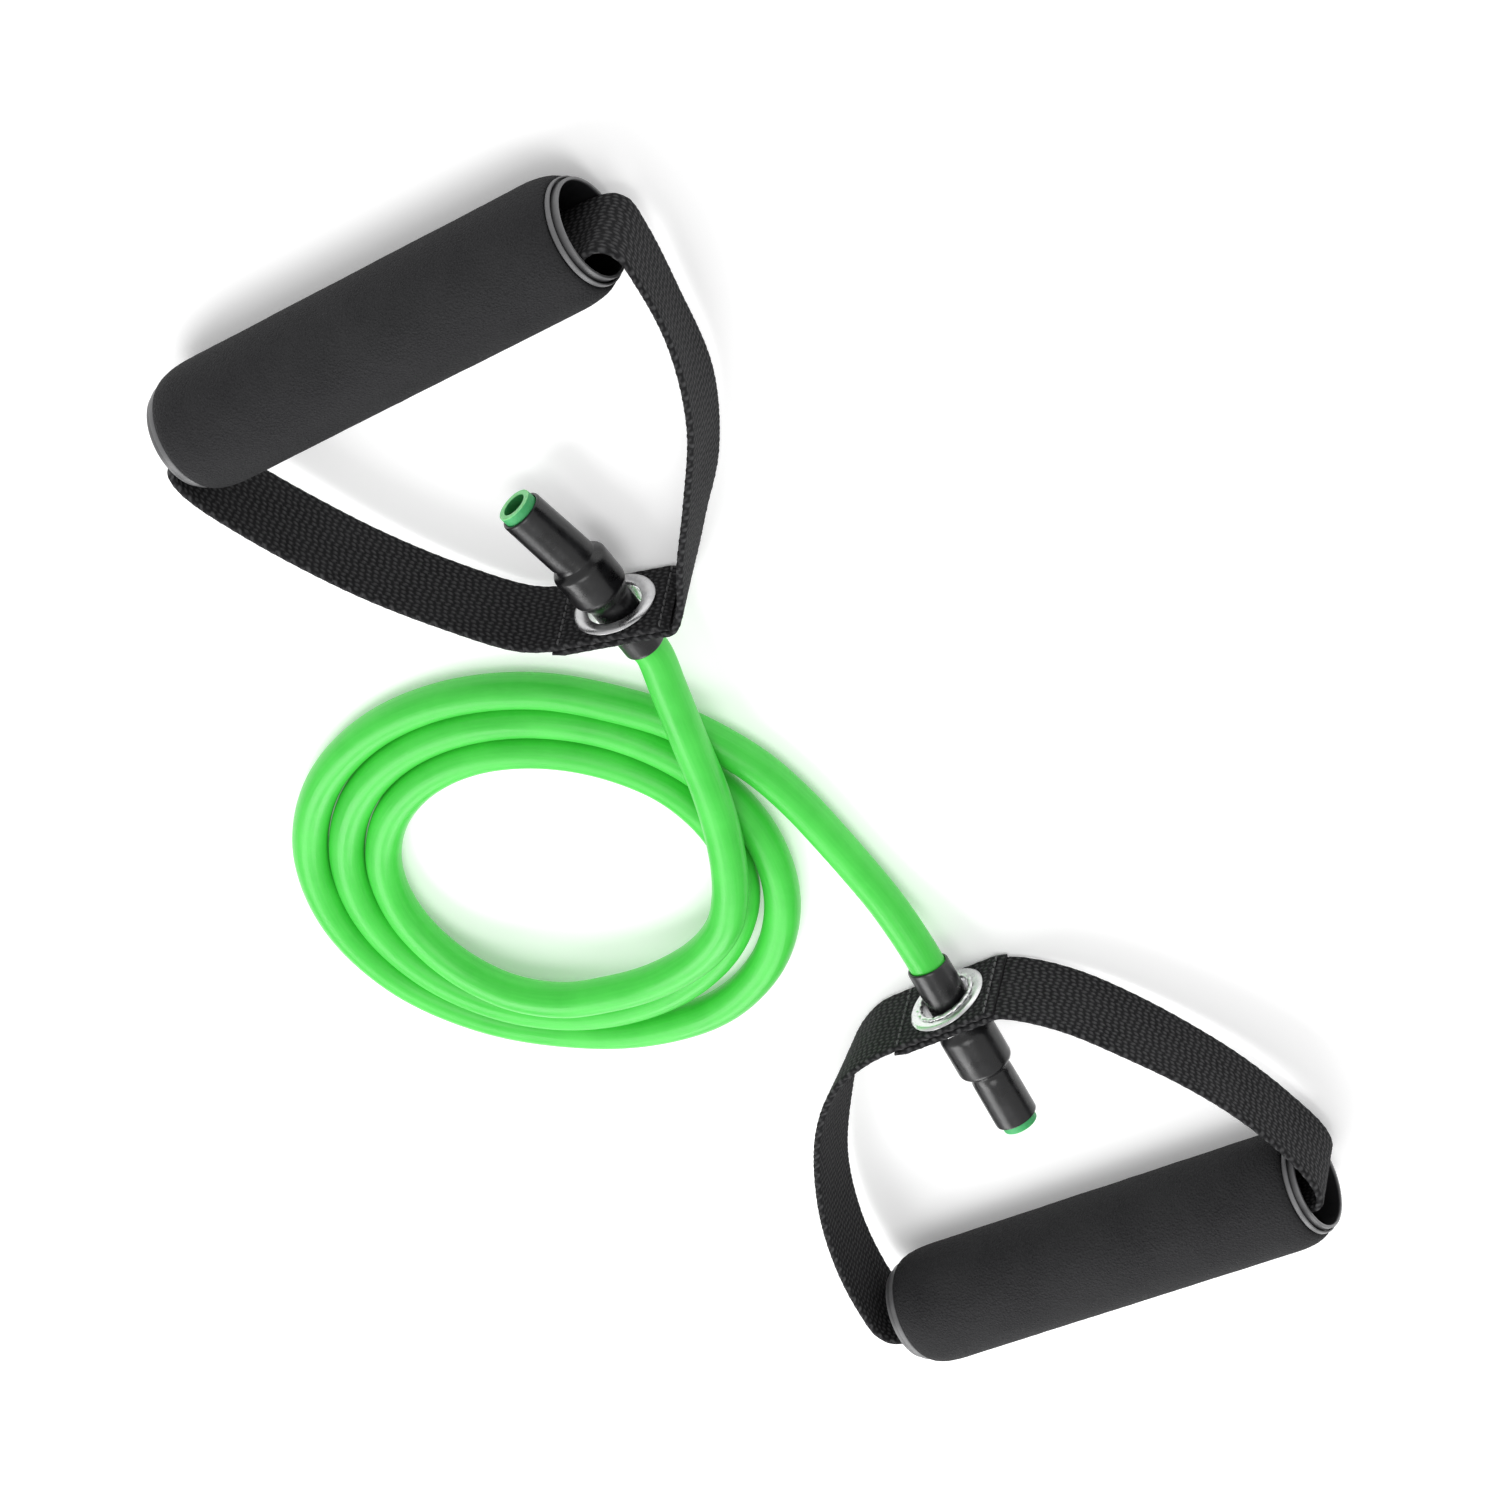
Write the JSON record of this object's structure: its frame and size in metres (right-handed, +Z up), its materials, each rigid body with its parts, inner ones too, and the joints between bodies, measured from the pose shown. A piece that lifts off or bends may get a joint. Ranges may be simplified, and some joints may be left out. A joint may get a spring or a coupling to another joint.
{
  "type": "resistance band",
  "caption": "Elastic tube resistance band lying in a loose coil, with a webbing stirrup and a foam-covered grip at each end.",
  "frame": {"origin": "on the floor under the middle of the box of the two handles", "axes": "+Z up from the floor the band lies on; +X towards handle b, +Y towards handle a"},
  "size_m": [0.3567, 0.3735, 0.034],
  "materials": {
    "rubber_green": "smooth satin latex, bright green",
    "foam_black": "matte closed-cell foam",
    "webbing_black": "ribbed woven webbing",
    "plastic_grey": "satin moulded plastic",
    "plastic_dark": "matte moulded plastic",
    "nickel": "bright nickel plate",
    "sleeve_black": "glossy shrunk sleeve"
  },
  "bodies": {
    "band": {"band_coil": "rubber_green", "band_tail_a": "rubber_green", "band_end_a": "rubber_green", "end_sleeve_a": "sleeve_black", "retaining_plug_a": "plastic_dark", "band_tail_b": "rubber_green", "band_end_b": "rubber_green", "end_sleeve_b": "sleeve_black", "retaining_plug_b": "plastic_dark"},
    "strap_a": {"webbing_strap_a": "webbing_black", "grommet_front_a": "nickel", "grommet_back_a": "nickel"},
    "grip_a": {"foam_grip_a": "foam_black", "core_tube_a": "plastic_dark", "end_ring_a_right": "plastic_grey", "end_ring_a_left": "plastic_grey"},
    "strap_b": {"webbing_strap_b": "webbing_black", "grommet_front_b": "nickel", "grommet_back_b": "nickel"},
    "grip_b": {"foam_grip_b": "foam_black", "core_tube_b": "plastic_dark", "end_ring_b_right": "plastic_grey", "end_ring_b_left": "plastic_grey"}
  },
  "joints": [
    {"name": "strap_swivel_a", "type": "hinge", "parent": "band", "child": "strap_a", "pos_m": [-0.05163, 0.05365, 0.0126], "axis": [0.6879, -0.7249, -0.0349], "continuous": true},
    {"name": "grip_spin_a", "type": "hinge", "parent": "strap_a", "child": "grip_a", "pos_m": [-0.123, 0.128, 0.017], "axis": [-0.682, -0.7314, 0], "continuous": true},
    {"name": "strap_swivel_b", "type": "hinge", "parent": "band", "child": "strap_b", "pos_m": [0.05954, -0.05727, 0.0126], "axis": [-0.6471, 0.7444, -0.165], "continuous": true},
    {"name": "grip_spin_b", "type": "hinge", "parent": "strap_b", "child": "grip_b", "pos_m": [0.1215, -0.1315, 0.017], "axis": [0.7157, 0.6984, 0], "continuous": true}
  ]
}
